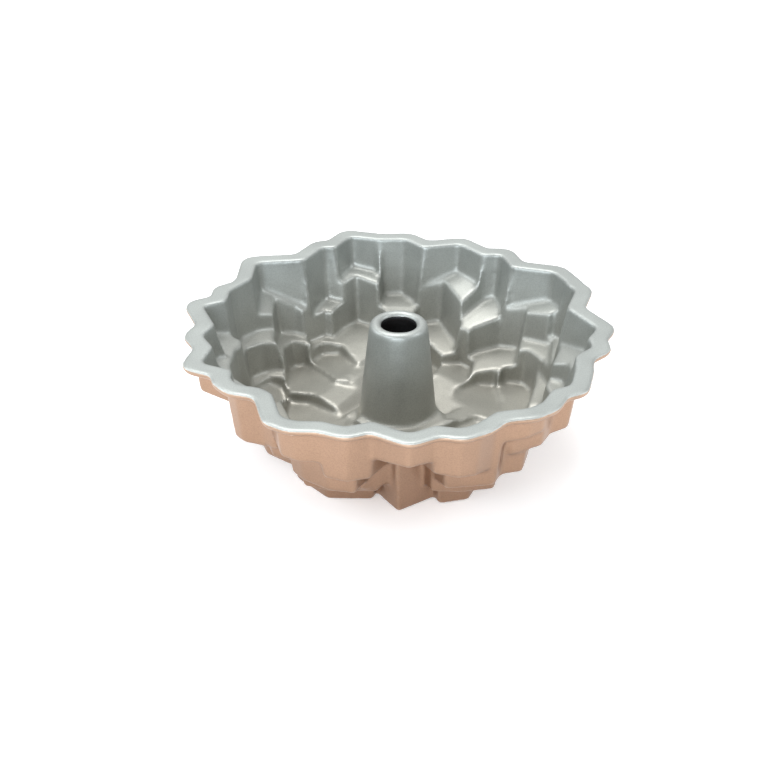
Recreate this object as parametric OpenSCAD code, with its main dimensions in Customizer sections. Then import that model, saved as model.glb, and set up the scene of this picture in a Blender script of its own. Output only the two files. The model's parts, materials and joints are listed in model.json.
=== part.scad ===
// Cast aluminium ring (bundt) pan whose cavity is a flower of overlapping, drafted petals.
// Origin: tube axis on the plane the pan stands on. +Z up, the mouth opens upwards.
// Bearings run counter-clockwise from +X, seen from above.

/* [Pan] */
// Height from the standing plane to the flat rim top, mm
pan_height = 80; // [80:0.5:86]
// Wall of the casting between cavity and outside, mm
wall = 3.6; // [3.2:0.1:4]
// Draft of every petal wall, degrees from vertical
draft = 6; // [4:0.5:7]

/* [Rim] */
// Width of the flat rim beyond the cavity mouth, mm
rim_width = 11; // [9:0.5:12]
// Thickness of the rim flange, mm
rim_thickness = 5; // [4:0.5:6]

/* [Tube] */
// How far the tube top sits below the rim top, mm
tube_drop = 1.5; // [1:0.5:3]
// Outer radius of the tube at its top, mm
tube_top_radius = 18; // [17:0.5:19]
// Outer radius of the tube where it leaves the cavity floor, mm
tube_foot_radius = 25; // [24:0.5:27]
// Diameter of the straight bore through the tube top, mm
bore_diameter = 22; // [20:0.5:24]
// Length of the straight bore, mm
bore_land = 6; // [5:0.5:8]

// Depth of the round floor around the tube, below the rim top, mm
well_depth = 64; // [62:0.5:66]
// Radius of the round floor around the tube, mm
well_radius = 44; // [40:1:48]

/* [Coatings] */
// Thickness the non-stick lining is drawn at, mm
lining = 0.3; // [0.2:0.05:0.4]
// Thickness the outer finish is drawn at, mm
finish = 0.3; // [0.2:0.05:0.4]

/* [Output] */
// One piece to draw, or all of them

/* [Hidden] */

// Petals. Each row starts with [depth, pitch, roll]: how far below the rim the floor lies at the
// petal's farthest corner, how steeply it falls towards the tube, and how steeply towards the
// clockwise side, in degrees. The rest are the outline's corners as [bearing, radius],
// counter-clockwise. Every tier's outlines are measured at the tier's own level below the rim top.

// Petals that break through the rim.
rim_petals = [
    [[18, 25, 0], [350, 115], [357, 121], [370, 107]],
    [[16, 25, 0], [339, 111], [346, 119], [350, 115]],
    [[27, 15, 0], [318, 116], [323, 121.5], [331, 116], [339, 111]],
    [[30, 10, 0], [304, 114], [313, 119], [318, 116]],
    [[17, 10, 0], [298, 114], [306, 120.5], [311, 121], [318, 116]],
    [[31, 10, -10], [280, 117], [286, 122.5], [291, 120.5], [298, 114]],
    [[20, 10, 0], [263, 113], [273, 123.5], [280, 117]],
    [[35, 10, 0], [250, 120], [257, 121], [263, 113]],
    [[24, 10, 0], [231, 110.5], [240, 125.5], [244, 125.5], [250, 120]],
    [[36, 10, 0], [222, 112], [231, 110.5]],
    [[37, 10, 0], [213, 113], [217, 118.5], [221, 118], [227, 110]],
    [[17, 15, 0], [198, 115], [205.5, 126], [213, 113]],
    [[22, 10, 0], [184.5, 112.5], [190.5, 120], [198, 115]],
    [[20, 15, 0], [168, 110], [173, 124], [184.5, 112.5]],
    [[33, 15, 0], [155, 107], [162, 115.5], [168, 110]],
    [[19.5, 30, 6], [128, 105], [141, 124], [155, 107]],
    [[38, 15, 0], [109, 108], [117, 117], [128, 105]],
    [[22, 12, 0], [97, 118], [106, 127], [113, 113.5]],
    [[41, 10, 0], [81.5, 107], [88, 118.5], [97, 118]],
    [[20.5, 20, -8], [59, 110], [69.5, 119], [82, 106]],
    [[31, 20, 0], [45.5, 107], [54, 118], [59, 110]],
    [[20.5, 20, -5], [26, 122], [34, 124], [45.5, 107]],
    [[39, 10, 0], [10, 107], [21, 122], [28, 120]],
];
// Petals one step down.
second_petals = [
    [[51, 10, 5], [130, 96], [133, 104], [139, 111], [151, 96]],
    [[37, 15, 0], [146, 103], [152, 107.5], [160, 110.5], [169, 108]],
    [[56, 10, 0], [60, 87], [73.5, 107], [83, 101]],
    [[57, 10, 0], [24, 87], [38, 108], [46, 100], [53, 85]],
    [[44, 10, 0], [12, 101], [25, 114], [36, 104]],
    [[38, 5, 0], [338, 104], [346, 108], [355, 104], [358, 96]],
    [[47, 5, 0], [222, 99], [227, 103], [234, 98]],
    [[50, 5, 0], [236, 104], [241, 107], [250, 110], [257, 108]],
    [[49, 5, 0], [286, 104], [299, 111], [304, 104]],
    [[47, 5, 0], [303, 106], [309, 111], [317, 102]],
    [[44, 10, 0], [83, 99], [93, 100], [103, 98]],
];
// Petals two steps down.
third_petals = [
    [[59, 5, 0], [97, 98], [106, 110], [114, 102], [121, 94]],
    [[60, 0, 0], [119, 96], [121, 100], [131, 98]],
    [[62, 5, 0], [152, 91], [157, 98], [164, 103], [173, 98]],
    [[57, 5, 0], [350, 90], [368, 101], [380, 100]],
    [[62, 0, 0], [238, 98], [246, 96], [262, 88]],
    [[61, 0, 0], [284, 90], [292, 95], [303, 100.5], [309, 90]],
    [[58, 0, 0], [252, 86], [258, 92], [265, 86]],
    [[60, 0, 0], [310, 88], [320, 96], [332, 90]],
    [[60, 0, 0], [333, 90], [344, 97], [357, 90]],
    [[60, 0, 0], [170, 94], [178, 100], [189, 102], [199, 101], [206, 94]],
    [[58, 0, 0], [207, 92], [217, 95], [228, 91]],
];
// Leaves on the bottom, around the tube, with all their corners.
base_leaves = [
    [[73, -8, 0], [170, 30], [139, 58], [134, 84], [134.5, 92], [138, 97], [144, 95], [164, 78], [198, 32]],
    [[77, -8, 0], [192, 30], [160, 60], [160, 79], [180, 75], [205, 70], [225, 50]],
    [[66, 27, 0], [160, 76], [155, 84], [158, 93], [166, 97], [178, 94], [186, 84], [178, 76]],
    [[70, -8, 0], [143, 40], [117, 60], [118, 85], [125, 93], [134, 88], [144, 56]],
    [[67, -6, 0], [70, 30], [85, 64], [105, 68], [123, 57], [143, 42]],
    [[77, -8, 0], [60, 34], [64, 70], [80, 88], [95, 82], [100, 34]],
    [[70, -8, 0], [27, 33], [39, 62], [48, 77], [57, 79], [67, 68], [75, 35]],
    [[74, -8, 0], [336, 32], [346, 48], [357, 62], [14, 72], [34, 81], [40, 69], [37, 48], [5, 27]],
    [[73, -5, 0], [350, 62], [356, 82], [13, 92], [21, 98], [28, 97], [33, 86], [20, 50]],
    [[77, -8, 0], [318, 34], [318, 64], [336, 84], [352, 76], [0, 50]],
    [[76, -8, 0], [278, 34], [288, 84], [299, 86], [320, 72], [326, 34]],
    [[77.5, -8, 0], [248, 34], [262, 72], [271, 87], [285, 77], [292, 34]],
    [[77, -8, 0], [195, 34], [206, 66], [224, 82], [242, 86], [259, 78], [262, 34]],
];

// [level, petals, heel], the heel being [radius, spread]: the two inner corners that a petal running
// on to the tube ends in, at this radius and this many degrees wider than its outermost corners.
tiers = [[-1, rim_petals, [40, 50]], [36, second_petals, [30, 40]], [50, third_petals, [30, 40]],
         [60, base_leaves, []]];

lean = tan(draft);
// Radius that the petals cover all round, and one that clears the whole pan.
mouth_core = 90;
clear_radius = 200;
// Levels above the standing plane.
metal_top = pan_height - lining;
tube_top = pan_height - tube_drop;
tube_foot = pan_height - well_depth - wall;

function flat(corner) = corner[1] * [cos(corner[0]), sin(corner[0])];
function turned(v) = [v[1], -v[0]];
function unit(v) = v / norm(v);
// Corner i moves along this vector when every side of the outline steps outwards by one.
function mitre(outline, i) =
    let (n = len(outline),
         a = unit(turned(outline[i] - outline[(i + n - 1) % n])),
         b = unit(turned(outline[(i + 1) % n] - outline[i])))
    (a + b) / (1 + a * b);
function corners_of(petal) = [for (i = [1:len(petal) - 1]) petal[i]];
function outline_of(petal, heel) =
    let (corners = corners_of(petal),
         first = corners[0][0],
         last = corners[len(corners) - 1][0],
         inner = heel == [] ? [] : [[last + heel[1], heel[0]], [first - heel[1], heel[0]]])
    [for (corner = concat(corners, inner)) flat(corner)];
function tip_of(petal) =
    let (corners = corners_of(petal),
         reach = max([for (corner = corners) corner[1]]))
    [for (i = [0:len(corners) - 1]) if (corners[i][1] == reach) i][0];

// The space of one petal, its walls and floor stepped outwards by grow.
module petal_space(petal, level, heel, grow) {
    outline = outline_of(petal, heel);
    n = len(outline);
    steps = [for (i = [0:n - 1]) mitre(outline, i)];
    tip = tip_of(petal);
    bearing = petal[tip + 1][0];
    outward = [cos(bearing), sin(bearing)];
    fall = -tan(petal[0][1]) * outward + tan(petal[0][2]) * turned(outward);
    depth = petal[0][0];
    origin = outline[tip] - lean * (depth - level) * steps[tip];
    deeper = grow * sqrt(1 + fall * fall);
    sideways = grow / cos(draft) + lean * level;
    foot = [for (i = [0:n - 1])
        let (start = outline[i] + sideways * steps[i],
             down = (depth + deeper + fall * (start - origin)) / (1 + lean * (fall * steps[i])))
        [each start - lean * down * steps[i], pan_height - down]];
    head = [for (i = [0:n - 1])
        [each outline[i] + (sideways + lean) * steps[i], pan_height + 1]];
    polyhedron(concat(foot, head),
        concat([[for (i = [0:n - 1]) i]],
               [[for (i = [0:n - 1]) 2 * n - 1 - i]],
               [for (i = [0:n - 1]) let (j = (i + 1) % n) [i, n + i, n + j, j]]));
}

// The round floor around the tube.
module well(grow) {
    depth = well_depth + grow;
    translate([0, 0, pan_height - depth]) cylinder(r = well_radius + grow, h = depth + 1, $fn = 64);
}

module flower(grow) {
    well(grow);
    for (tier = tiers)
        for (petal = tier[1]) petal_space(petal, tier[0], tier[2], grow);
}

module tube(grow) {
    rotate_extrude($fn = 96)
        polygon([[0, -1], [tube_foot_radius + grow, -1], [tube_foot_radius + grow, tube_foot],
                 [tube_top_radius + grow, tube_top + grow], [0, tube_top + grow]]);
}

// The space that batter fills, its walls stepped outwards by grow.
module cavity(grow) {
    difference() {
        flower(grow);
        tube(-grow);
    }
}

// The straight bore through the tube's top, and the tapered hollow under it.
module bore() {
    translate([0, 0, -1]) cylinder(d = bore_diameter, h = pan_height + 2, $fn = 96);
    translate([0, 0, -1])
        cylinder(r1 = tube_foot_radius - wall, r2 = tube_top_radius - wall,
                 h = tube_top - bore_land + 1, $fn = 96);
}

module mouth() {
    for (petal = tiers[0][1]) polygon(outline_of(petal, tiers[0][2]));
    circle(r = mouth_core, $fn = 64);
}

module flange(grow) {
    height = rim_thickness + grow;
    translate([0, 0, pan_height - height])
        linear_extrude(height)
            offset(r = rim_width + grow, $fn = 32) mouth();
}

// Everything between the standing plane and a level, wide enough for the whole pan.
module up_to(level) {
    cylinder(r = clear_radius, h = level, $fn = 64);
}

// The pan's outside as a full solid, its surface stepped outwards by grow.
module outside(grow) {
    intersection() {
        union() {
            flower(wall + grow);
            flange(grow);
        }
        up_to(metal_top);
    }
}

module casting() {
    color("silver")
    difference() {
        outside(-finish);
        cavity(lining);
        bore();
    }
}

module nonstick_lining() {
    color("lightslategray")
    difference() {
        intersection() {
            union() {
                cavity(lining);
                translate([0, 0, metal_top]) linear_extrude(lining) offset(r = rim_width, $fn = 32) mouth();
            }
            up_to(pan_height);
        }
        cavity(0);
        bore();
    }
}

module outer_finish() {
    color("rosybrown")
    difference() {
        outside(0);
        outside(-finish);
        bore();
    }
}

casting();
nonstick_lining();
outer_finish();
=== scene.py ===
"""A cast bundt pan in a plain studio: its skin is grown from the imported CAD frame, then given cast
fillets, a baked-on lining inside and a rose-gold finish outside."""
import json
import math

import bmesh
import bpy
import numpy as np
from mathutils import Matrix, Vector
from mathutils.bvhtree import BVHTree


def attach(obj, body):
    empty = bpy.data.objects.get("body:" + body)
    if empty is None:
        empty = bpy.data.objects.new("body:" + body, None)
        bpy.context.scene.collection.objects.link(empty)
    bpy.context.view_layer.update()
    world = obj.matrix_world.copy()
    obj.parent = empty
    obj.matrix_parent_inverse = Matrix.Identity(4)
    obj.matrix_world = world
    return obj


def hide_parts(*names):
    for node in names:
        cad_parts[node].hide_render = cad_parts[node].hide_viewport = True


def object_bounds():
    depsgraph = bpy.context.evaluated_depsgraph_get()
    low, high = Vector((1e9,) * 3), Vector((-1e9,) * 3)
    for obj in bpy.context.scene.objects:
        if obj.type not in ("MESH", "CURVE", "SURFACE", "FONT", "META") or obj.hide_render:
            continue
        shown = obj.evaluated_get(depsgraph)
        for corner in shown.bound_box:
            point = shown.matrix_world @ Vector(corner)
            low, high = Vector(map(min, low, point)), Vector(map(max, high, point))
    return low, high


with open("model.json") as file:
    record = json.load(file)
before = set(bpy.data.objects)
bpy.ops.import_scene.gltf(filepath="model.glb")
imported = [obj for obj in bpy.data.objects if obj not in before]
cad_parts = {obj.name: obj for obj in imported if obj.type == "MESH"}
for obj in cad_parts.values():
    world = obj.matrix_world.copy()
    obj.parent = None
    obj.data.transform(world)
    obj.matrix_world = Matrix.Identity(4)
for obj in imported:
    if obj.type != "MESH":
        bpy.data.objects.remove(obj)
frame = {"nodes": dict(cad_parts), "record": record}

cad_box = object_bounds()

MM = 0.001
RIM_TOP = cad_box[1].z
CASTING, LINING, FINISH = "casting", "nonstick_lining", "outer_finish"
BORE = frame["record"]["mounts"][0]
BORE_RADIUS = BORE["dims"]["r_mm"] * MM
TUBE_TOP = BORE["pos_m"][2] + BORE["dims"]["length_mm"] / 2 * MM

# The skin: its grain, its coats, and how far the rim's top is drawn up while the rest is relaxed
VOXEL = 1.1 * MM
COAT = 0.3 * MM
WELD = 1e-6
RIM_LIP = 1.0 * MM
RIM_LIFT = 14 * MM

# The fillets: how far a round of relaxing goes, and the rounds that each region takes
SHARE = 0.5
DEEP_ROUNDS = 3
RIM_ROUNDS = 24
HOLLOW_ROUNDS = 4
EVEN_ROUNDS = 3
RIM_BAND = 15 * MM
DIP_ROUNDS = 6
FULL_DIP = 0.02 * VOXEL

# Where the coats meet: the lining ends just under the rim's top and a little way down the bore, and
# the finish ends a little way up the tube's hollow
COAT_LINE = RIM_TOP - 0.9 * MM
BORE_LINE = TUBE_TOP - 2.5 * MM
HOLLOW_MARGIN = 1.2 * MM
# A radius past the hollow's foot, and one in the tube's wall, which widens downwards by the taper
FOOT_REACH = BORE_RADIUS + 9 * MM
WALL_REACH = BORE_RADIUS + 4 * MM
WALL_TAPER = 0.1

# The coats' detail. Scales are in noise cycles a metre, and stops are (noise, brightness).
SPECKLE_SCALE = 1300.0
MOTTLE_SCALE = 40.0
PEEL_SCALE = 260.0
FINE_DETAIL = 3.0
MOTTLE_DETAIL = 4.0
SPECKLE_STOPS = ((0.36, 0.86), (0.6, 1.0))
MOTTLE_STOPS = ((0.3, 0.90), (0.7, 1.0))
NOISE_RANGE = (0.3, 0.7)
ROUGH_DRIFT = 0.05
GRAIN = 0.12 * MM
GRAIN_STRENGTH = 0.25
PEEL_STRENGTH = 0.3
# How far the convex edges are painted lighter, as a painted highlight, and the pointiness over which it
# grows
EDGE_HIGHLIGHT = 0.6
EDGE_RANGE = (0.52, 0.60)

# A Mix node has sockets of the same name for each kind of value. These are the places of those for
# colours.
MIX_FACTOR, MIX_A, MIX_B, MIX_RESULT = 0, 6, 7, 2

# The floor lies just under the pan. It glows a little, as a lit product table does, so that only a
# faint shadow shows on it.
FLOOR = -0.05 * MM
FLOOR_REACH = 3.0
FLOOR_GREY = 0.9
FLOOR_ROUGH = 0.9
FLOOR_GLOW = 0.30

# The studio's lights, aimed at the pan: name, place, size, watts, colour
SOFTBOXES = (
    ("softbox_front", (-0.7, -0.9, 0.9), (0.8, 0.5), 6, (0.88, 0.94, 1.0)),
    ("softbox_low", (-0.1, -1.35, 0.40), (0.8, 0.3), 9, (0.86, 0.93, 1.0)),
    ("softbox_left", (-1.1, 0.1, 0.8), (0.4, 0.8), 5, (0.90, 0.95, 1.0)),
    ("softbox_right", (1.1, -0.1, 0.8), (0.3, 0.8), 4, (0.90, 0.95, 1.0)),
    ("softbox_back", (0.1, 1.3, 0.75), (1.6, 0.5), 1.5, (0.97, 0.98, 1.0)),
)
SCRIM_TOWARDS = (0.10, -0.30, -1.0)
SCRIM_STRENGTH = 2.0
SCRIM_WIDTH = 40
WORLD_STRENGTH = 0.6

# The photograph's view: the lens in mm, the camera's place, and its turns in degrees
LENS = 54.16
CAMERA_PLACE = (0.0, -0.6244, RIM_TOP + 0.3397)
YAW, PITCH, ROLL = -0.813, -31.75, 0.377


# ---------------------------------------------------------------------------------------- skin

def cad_mesh(names):
    """The CAD nodes' faces as one mesh."""
    bm = bmesh.new()
    for name in names:
        bm.from_mesh(frame["nodes"][name].data)
    bmesh.ops.remove_doubles(bm, verts=bm.verts, dist=WELD)
    mesh = bpy.data.meshes.new("cad_faces")
    bm.to_mesh(mesh)
    bm.free()
    return mesh


def cut_level(bm, level, **settings):
    """Adds an edge line round a mesh at a height. The settings may clear what lies above it."""
    everything = bm.verts[:] + bm.edges[:] + bm.faces[:]
    bmesh.ops.bisect_plane(bm, geom=everything, dist=WELD, plane_co=(0, 0, level),
                           plane_no=(0, 0, 1), **settings)


def lift_rim(mesh):
    """Draws the rim's top straight up, so that relaxing rounds its outline and not its edges."""
    bm = bmesh.new()
    bm.from_mesh(mesh)
    cut_level(bm, RIM_TOP - RIM_LIP)
    for vert in bm.verts:
        if vert.co.z > RIM_TOP - RIM_LIP / 2:
            vert.co.z += RIM_LIFT
    bm.to_mesh(mesh)
    bm.free()


def trim_rim(mesh):
    """Cuts the drawn-up rim off level again and closes its top."""
    bm = bmesh.new()
    bm.from_mesh(mesh)
    cut_level(bm, RIM_TOP, clear_outer=True)
    rim = [edge for edge in bm.edges if edge.is_boundary]
    bmesh.ops.triangle_fill(bm, edges=rim, normal=(0, 0, 1), use_dissolve=False)
    bm.to_mesh(mesh)
    bm.free()


def voxel_skin(mesh):
    """One closed even-grained skin round the solids of a mesh."""
    obj = bpy.data.objects.new("skin_source", mesh)
    bpy.context.scene.collection.objects.link(obj)
    remesh = obj.modifiers.new("skin", "REMESH")
    remesh.mode = "VOXEL"
    remesh.voxel_size = VOXEL
    depsgraph = bpy.context.evaluated_depsgraph_get()
    skin = bpy.data.meshes.new_from_object(obj.evaluated_get(depsgraph))
    bpy.data.objects.remove(obj)
    return skin


def read_points(mesh):
    values = np.zeros(len(mesh.vertices) * 3)
    mesh.vertices.foreach_get("co", values)
    return values.reshape(-1, 3)


def read_normals(mesh):
    values = np.zeros(len(mesh.vertices) * 3)
    mesh.vertex_normals.foreach_get("vector", values)
    return values.reshape(-1, 3)


def write_points(mesh, points):
    mesh.vertices.foreach_set("co", points.ravel())
    mesh.update()


def read_edges(mesh):
    ends = np.zeros(len(mesh.edges) * 2, np.int64)
    mesh.edges.foreach_get("vertices", ends)
    return ends.reshape(-1, 2)


def neighbour_mean(values, ends):
    """The mean of each point's neighbours, for one column or several."""
    columns = values.reshape(len(values), -1)
    count = np.bincount(ends.ravel(), minlength=len(values))
    total = np.stack([np.bincount(ends[:, 0], c[ends[:, 1]], len(c))
                      + np.bincount(ends[:, 1], c[ends[:, 0]], len(c)) for c in columns.T], axis=1)
    return (total / count[:, None]).reshape(values.shape)


def relax(points, ends, share, rounds):
    """Draws each point towards the mean of its neighbours, by its own share of the way."""
    for _ in range(rounds):
        points = points + share[:, None] * (neighbour_mean(points, ends) - points)
    return points


def cast_fillets(mesh):
    """Rounds the skin as a casting is: most in the rim's outline, then in the hollows, and least on
    the ridges."""
    ends = read_edges(mesh)
    points = read_points(mesh)
    points = relax(points, ends, np.full(len(points), SHARE), DEEP_ROUNDS)
    near_rim = np.clip(1.0 - (RIM_TOP - points[:, 2]) / RIM_BAND, 0.0, 1.0)
    points = relax(points, ends, SHARE * near_rim, RIM_ROUNDS)
    write_points(mesh, points)
    dip = ((neighbour_mean(points, ends) - points) * read_normals(mesh)).sum(axis=1)
    for _ in range(DIP_ROUNDS):
        dip = neighbour_mean(dip, ends)
    hollow = np.clip(dip / FULL_DIP, 0.0, 1.0)
    write_points(mesh, relax(points, ends, SHARE * hollow, HOLLOW_ROUNDS))


def soften(mesh):
    """Takes the sharpness off the trimmed rim and the voxels' steps."""
    points = read_points(mesh)
    write_points(mesh, relax(points, read_edges(mesh), np.full(len(points), SHARE), EVEN_ROUNDS))


def nearest_coat():
    """A function that says which coat of the CAD model a place is nearest to."""
    trees = {name: BVHTree.FromPolygons(*faces_of(name)) for name in (LINING, FINISH)}

    def nearest(place):
        away = {name: tree.find_nearest(place)[3] for name, tree in trees.items()}
        return min(away, key=away.get)
    return nearest


def faces_of(name):
    mesh = frame["nodes"][name].data
    return [v.co for v in mesh.vertices], [p.vertices for p in mesh.polygons]


def sort_faces(bm):
    """Which coat each face of the skin carries, or the bare casting in the tube's hollow."""
    nearest = nearest_coat()
    foot = min(v.co.z for v in bm.verts if math.hypot(v.co.x, v.co.y) < FOOT_REACH)
    kinds = []
    for face in bm.faces:
        place = face.calc_center_median()
        radius = math.hypot(place.x, place.y)
        inwards = face.normal.x * place.x + face.normal.y * place.y < 0
        in_hollow = radius < bore_reach(place.z) and foot + HOLLOW_MARGIN < place.z < BORE_LINE
        if inwards and in_hollow:
            kinds.append(CASTING)
        elif place.z > COAT_LINE:
            kinds.append(LINING)
        else:
            kinds.append(nearest(place))
    return kinds


def bore_reach(height):
    """A radius between the tube's hollow and its outside, at a height."""
    return WALL_REACH + (TUBE_TOP - height) * WALL_TAPER


def shell(bm, kinds, kind, name):
    """The faces of one kind as a closed coat, thickened into the pan."""
    part = bm.copy()
    others = [face for face, k in zip(part.faces, kinds) if k != kind]
    bmesh.ops.delete(part, geom=others, context="FACES")
    mesh = bpy.data.meshes.new(name)
    part.to_mesh(mesh)
    part.free()
    obj = add_object(name, mesh)
    solid = obj.modifiers.new("coat", "SOLIDIFY")
    solid.thickness = COAT
    solid.offset = -1
    return obj


def add_object(name, mesh):
    for polygon in mesh.polygons:
        polygon.use_smooth = True
    obj = bpy.data.objects.new(name, mesh)
    bpy.context.scene.collection.objects.link(obj)
    return obj


def bare_casting(bm, kinds):
    """The whole skin, drawn in by a coat's thickness wherever a coat covers it."""
    part = bm.copy()
    covered = {v for face, k in zip(part.faces, kinds) if k != CASTING for v in face.verts}
    moves = [(v, v.co - v.normal * COAT) for v in covered]
    for vert, place in moves:
        vert.co = place
    mesh = bpy.data.meshes.new("cast_body")
    part.to_mesh(mesh)
    part.free()
    return add_object("cast_body", mesh)


def build_pan():
    source = cad_mesh([CASTING, LINING, FINISH])
    lift_rim(source)
    skin = voxel_skin(source)
    cast_fillets(skin)
    trim_rim(skin)
    skin = voxel_skin(skin)
    soften(skin)
    bm = bmesh.new()
    bm.from_mesh(skin)
    for level in (COAT_LINE, BORE_LINE):
        cut_level(bm, level)
    bm.normal_update()
    kinds = sort_faces(bm)
    pieces = {
        CASTING: bare_casting(bm, kinds),
        LINING: shell(bm, kinds, LINING, "silver_lining"),
        FINISH: shell(bm, kinds, FINISH, "rose_gold_finish"),
    }
    bm.free()
    for node, obj in pieces.items():
        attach(obj, "root")
        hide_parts(node)
    return pieces


# ----------------------------------------------------------------------------------- materials

def new_material(name):
    """A material with its node tree and its Principled shader."""
    material = bpy.data.materials.new(name)
    material.use_nodes = True
    tree = material.node_tree
    shader = tree.nodes["Principled BSDF"]
    return material, tree, shader


def add_node(tree, kind, inputs=None, **settings):
    node = tree.nodes.new(kind)
    for key, value in settings.items():
        setattr(node, key, value)
    for key, value in (inputs or {}).items():
        socket = node.inputs[key]
        if isinstance(value, bpy.types.NodeSocket):
            tree.links.new(value, socket)
        else:
            socket.default_value = value
    return node


def grey_ramp(tree, value, stops):
    """A brightness that runs between two stops."""
    node = add_node(tree, "ShaderNodeValToRGB", {"Fac": value})
    for element, (at, grey) in zip(node.color_ramp.elements, stops):
        element.position = at
        element.color = (grey, grey, grey, 1.0)
    return node.outputs["Color"]


def noise(tree, place, scale, detail=FINE_DETAIL):
    inputs = {"Vector": place, "Scale": scale, "Detail": detail}
    return add_node(tree, "ShaderNodeTexNoise", inputs).outputs["Fac"]


def spread(tree, value, low, high, source=NOISE_RANGE):
    """A value stretched from one range to another."""
    inputs = {"Value": value, "From Min": source[0], "From Max": source[1], "To Min": low, "To Max": high}
    return add_node(tree, "ShaderNodeMapRange", inputs).outputs["Result"]


def mixed(tree, factor, a, b, blend="MIX"):
    """Two colours mixed."""
    node = add_node(tree, "ShaderNodeMix", data_type="RGBA", blend_type=blend)
    for place, value in ((MIX_FACTOR, factor), (MIX_A, a), (MIX_B, b)):
        socket = node.inputs[place]
        if isinstance(value, bpy.types.NodeSocket):
            tree.links.new(value, socket)
        else:
            socket.default_value = (*value, 1.0) if isinstance(value, tuple) else value
    return node.outputs[MIX_RESULT]


def coated_metal(name, top, bottom, edge_highlight, metallic, rough, peel):
    """A satin coat on cast metal. Its colour drifts from top to bottom of the pan, it is mottled
    and speckled, lighter on its convex edges as a painted highlight, and its surface has a faint orange
    peel."""
    material, tree, shader = new_material(name)
    place = add_node(tree, "ShaderNodeTexCoord").outputs["Object"]
    height = add_node(tree, "ShaderNodeSeparateXYZ", {"Vector": place}).outputs["Z"]
    speckle = noise(tree, place, SPECKLE_SCALE)
    mottle = noise(tree, place, MOTTLE_SCALE, MOTTLE_DETAIL)
    body = mixed(tree, spread(tree, height, 0.0, 1.0, (0.0, RIM_TOP)), bottom, top)
    body = mixed(tree, 1.0, body, grey_ramp(tree, mottle, MOTTLE_STOPS), "MULTIPLY")
    body = mixed(tree, 1.0, body, grey_ramp(tree, speckle, SPECKLE_STOPS), "MULTIPLY")
    # The convex edges are painted lighter: a painted highlight.
    edge = add_node(tree, "ShaderNodeNewGeometry").outputs["Pointiness"]
    edge_highlight_share = spread(tree, edge, 0.0, EDGE_HIGHLIGHT, EDGE_RANGE)
    tree.links.new(mixed(tree, edge_highlight_share, body, edge_highlight), shader.inputs["Base Color"])
    shader.inputs["Metallic"].default_value = metallic
    drift = spread(tree, mottle, rough - ROUGH_DRIFT, rough + ROUGH_DRIFT)
    tree.links.new(drift, shader.inputs["Roughness"])
    ripple = noise(tree, place, PEEL_SCALE)
    waves = add_node(tree, "ShaderNodeBump", {"Strength": PEEL_STRENGTH, "Distance": peel, "Height": ripple})
    bump = add_node(tree, "ShaderNodeBump", {"Strength": GRAIN_STRENGTH, "Distance": GRAIN,
                                             "Height": speckle, "Normal": waves.outputs["Normal"]})
    tree.links.new(bump.outputs["Normal"], shader.inputs["Normal"])
    return material


def dress(pieces):
    # The lighter colour given to each coat's convex edges is a painted highlight.
    lining = coated_metal("lining", top=(0.42, 0.445, 0.425), bottom=(0.42, 0.405, 0.355),
                          edge_highlight=(0.60, 0.615, 0.59), metallic=0.65, rough=0.45, peel=0.2 * MM)
    finish = coated_metal("finish", top=(0.375, 0.24, 0.162), bottom=(0.335, 0.205, 0.135),
                          edge_highlight=(0.60, 0.47, 0.37), metallic=0.8, rough=0.38, peel=0.25 * MM)
    # The tube's hollow is bare metal, coloured near black as the hollow's painted shade.
    bare = coated_metal("shaded_bare_metal", top=(0.03, 0.03, 0.03), bottom=(0.05, 0.05, 0.05),
                        edge_highlight=(0.10, 0.10, 0.10), metallic=0.6, rough=0.6, peel=0.3 * MM)
    for node, material, slot in ((LINING, lining, "lining"), (FINISH, finish, "outer_finish"),
                                 (CASTING, bare, "aluminium")):
        pieces[node].data.materials.append(material)


# -------------------------------------------------------------------------------------- studio

def build_floor():
    mesh = bpy.data.meshes.new("floor")
    turns = ((-1, -1), (1, -1), (1, 1), (-1, 1))
    corners = [(x * FLOOR_REACH, y * FLOOR_REACH, FLOOR) for x, y in turns]
    mesh.from_pydata(corners, [], [(0, 1, 2, 3)])
    floor = bpy.data.objects.new("floor", mesh)
    bpy.context.scene.collection.objects.link(floor)
    material, _, shader = new_material("floor_white")
    shader.inputs["Base Color"].default_value = (FLOOR_GREY, FLOOR_GREY, FLOOR_GREY, 1.0)
    shader.inputs["Roughness"].default_value = FLOOR_ROUGH
    shader.inputs["Emission Color"].default_value = (1.0, 1.0, 1.0, 1.0)
    shader.inputs["Emission Strength"].default_value = FLOOR_GLOW
    mesh.materials.append(material)


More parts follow.
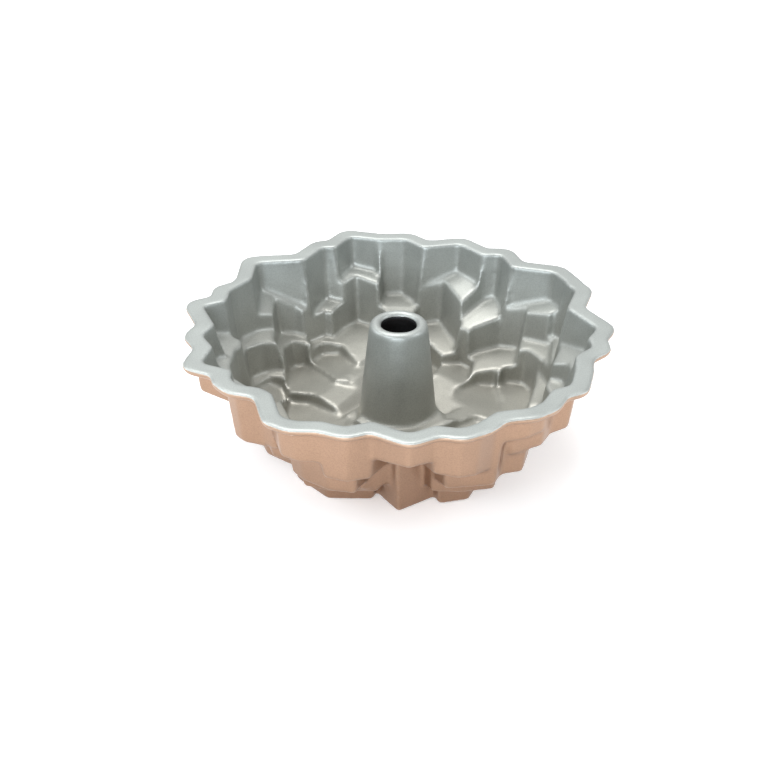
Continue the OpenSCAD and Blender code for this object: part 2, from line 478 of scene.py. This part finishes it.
def area_light(name, place, aim, size, power, shade):
    """A softbox that faces a point."""
    data = bpy.data.lights.new(name, "AREA")
    data.shape = "RECTANGLE"
    data.size, data.size_y = size
    data.energy = power
    data.color = shade
    lamp = bpy.data.objects.new(name, data)
    bpy.context.scene.collection.objects.link(lamp)
    lamp.location = place
    lamp.rotation_mode = "QUATERNION"
    lamp.rotation_quaternion = (Vector(aim) - Vector(place)).to_track_quat("-Z", "Y")


def sky_light(name, towards, strength, width):
    """A broad even light from far off, as wide across the sky as the width says, in degrees."""
    data = bpy.data.lights.new(name, "SUN")
    data.energy = strength
    data.angle = math.radians(width)
    lamp = bpy.data.objects.new(name, data)
    bpy.context.scene.collection.objects.link(lamp)
    lamp.rotation_mode = "QUATERNION"
    lamp.rotation_quaternion = Vector(towards).to_track_quat("-Z", "Y")


def build_lights():
    aim = (0, 0, RIM_TOP / 2)
    sky_light("scrim_above", SCRIM_TOWARDS, SCRIM_STRENGTH, SCRIM_WIDTH)
    for name, place, size, power, shade in SOFTBOXES:
        area_light(name, place, aim, size, power, shade)
    world = bpy.data.worlds.new("studio")
    world.use_nodes = True
    world.node_tree.nodes["Background"].inputs["Color"].default_value = (1, 1, 1, 1)
    world.node_tree.nodes["Background"].inputs["Strength"].default_value = WORLD_STRENGTH
    bpy.context.scene.world = world
    bpy.context.scene.view_settings.view_transform = "Standard"


def build_camera():
    """The photograph's view: a little above the rim, from the front."""
    data = bpy.data.cameras.new("camera")
    data.lens = LENS
    camera = bpy.data.objects.new("camera", data)
    bpy.context.scene.collection.objects.link(camera)
    yaw, pitch, roll = (math.radians(turn) for turn in (YAW, PITCH, ROLL))
    ahead = Vector((math.sin(yaw) * math.cos(pitch), math.cos(yaw) * math.cos(pitch), math.sin(pitch)))
    level = ahead.cross(Vector((0, 0, 1))).normalized()
    above = level.cross(ahead)
    right = level * math.cos(roll) + above * math.sin(roll)
    up = above * math.cos(roll) - level * math.sin(roll)
    turn = Matrix((right, up, -ahead)).transposed()
    camera.matrix_world = Matrix.Translation(CAMERA_PLACE) @ turn.to_4x4()
    bpy.context.scene.camera = camera


build_camera()
dress(build_pan())
build_floor()
build_lights()
